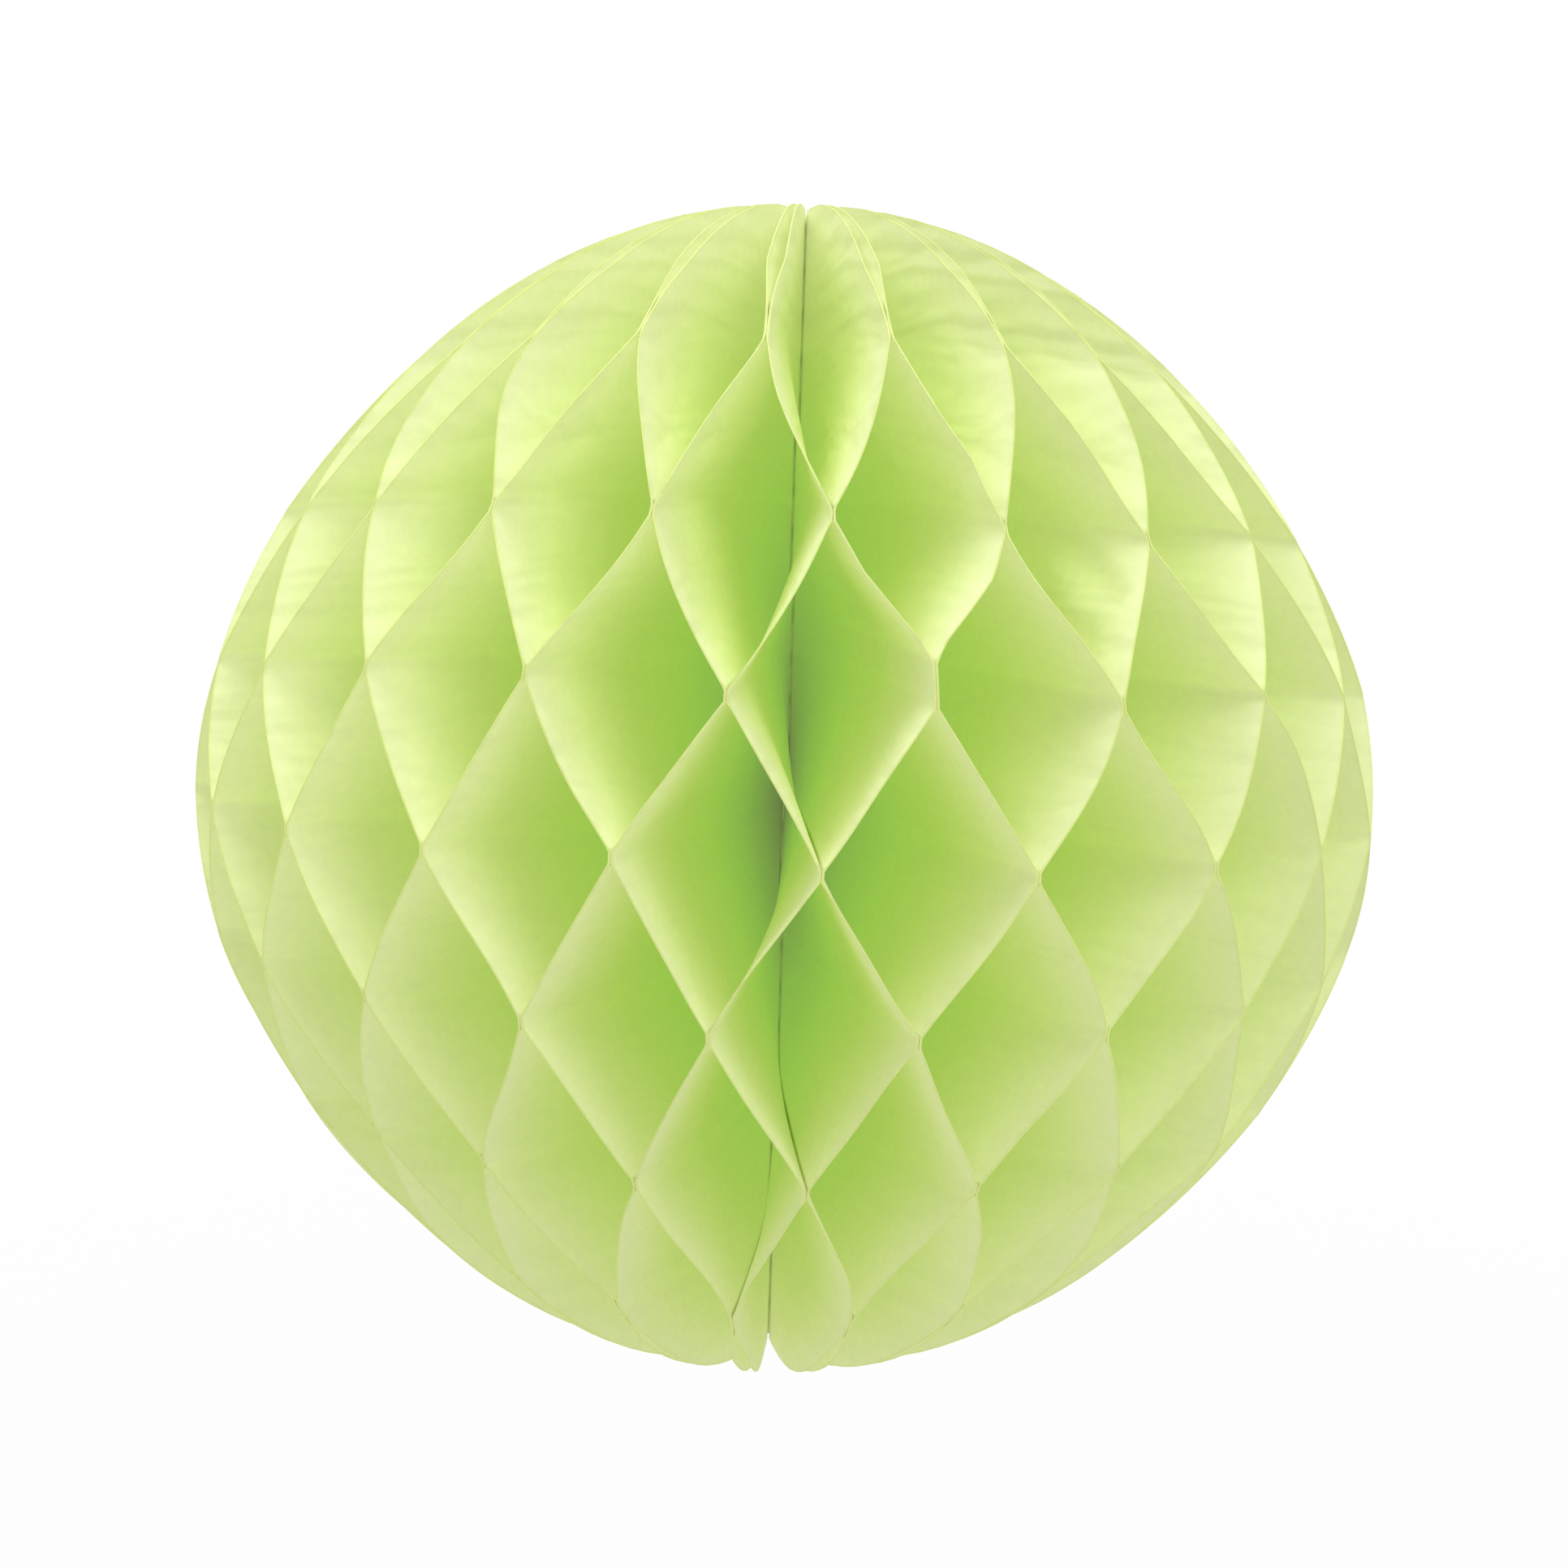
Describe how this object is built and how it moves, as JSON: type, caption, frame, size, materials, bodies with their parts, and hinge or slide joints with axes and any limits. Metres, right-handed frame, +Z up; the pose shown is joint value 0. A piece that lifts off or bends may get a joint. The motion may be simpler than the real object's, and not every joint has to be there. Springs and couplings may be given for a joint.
{
  "type": "honeycomb tissue paper ball",
  "caption": "Lime green honeycomb ball: half-round tissue leaves glued in staggered rows fan out around an upright spine and open into diamond cells. Hangs from its upper pole.",
  "frame": {"origin": "centre of the ball, halfway between its poles on the spine", "axes": "+Z up along the spine from the lower pole to the upper, +Y towards the seam where the two end cards meet, -Y towards the pictured side"},
  "size_m": [0.2, 0.1995, 0.1996],
  "materials": {
    "tissue": "thin translucent lime tissue paper, matte, softly creased",
    "card": "uncoated lime card",
    "thread": "twisted white cotton"
  },
  "bodies": {
    "root": {"leaf_01": "tissue", "leaf_02": "tissue", "leaf_03": "tissue", "leaf_04": "tissue", "leaf_05": "tissue", "leaf_06": "tissue", "leaf_07": "tissue", "leaf_08": "tissue", "leaf_09": "tissue", "leaf_10": "tissue", "leaf_11": "tissue", "leaf_12": "tissue", "leaf_13": "tissue", "leaf_14": "tissue", "leaf_15": "tissue", "leaf_16": "tissue", "leaf_17": "tissue", "leaf_18": "tissue", "leaf_19": "tissue", "leaf_20": "tissue", "leaf_21": "tissue", "leaf_22": "tissue", "leaf_23": "tissue", "leaf_24": "tissue", "leaf_25": "tissue", "leaf_26": "tissue", "leaf_27": "tissue", "leaf_28": "tissue", "leaf_29": "tissue", "leaf_30": "tissue", "leaf_31": "tissue", "leaf_32": "tissue", "leaf_33": "tissue", "leaf_34": "tissue", "leaf_35": "tissue", "leaf_36": "tissue", "leaf_37": "tissue", "leaf_38": "tissue", "leaf_39": "tissue", "leaf_40": "tissue", "leaf_41": "tissue", "leaf_42": "tissue", "leaf_43": "tissue", "leaf_44": "tissue", "leaf_45": "tissue", "leaf_46": "tissue", "end_card_left": "card", "end_card_right": "card", "spine_thread": "thread"}
  },
  "joints": []
}
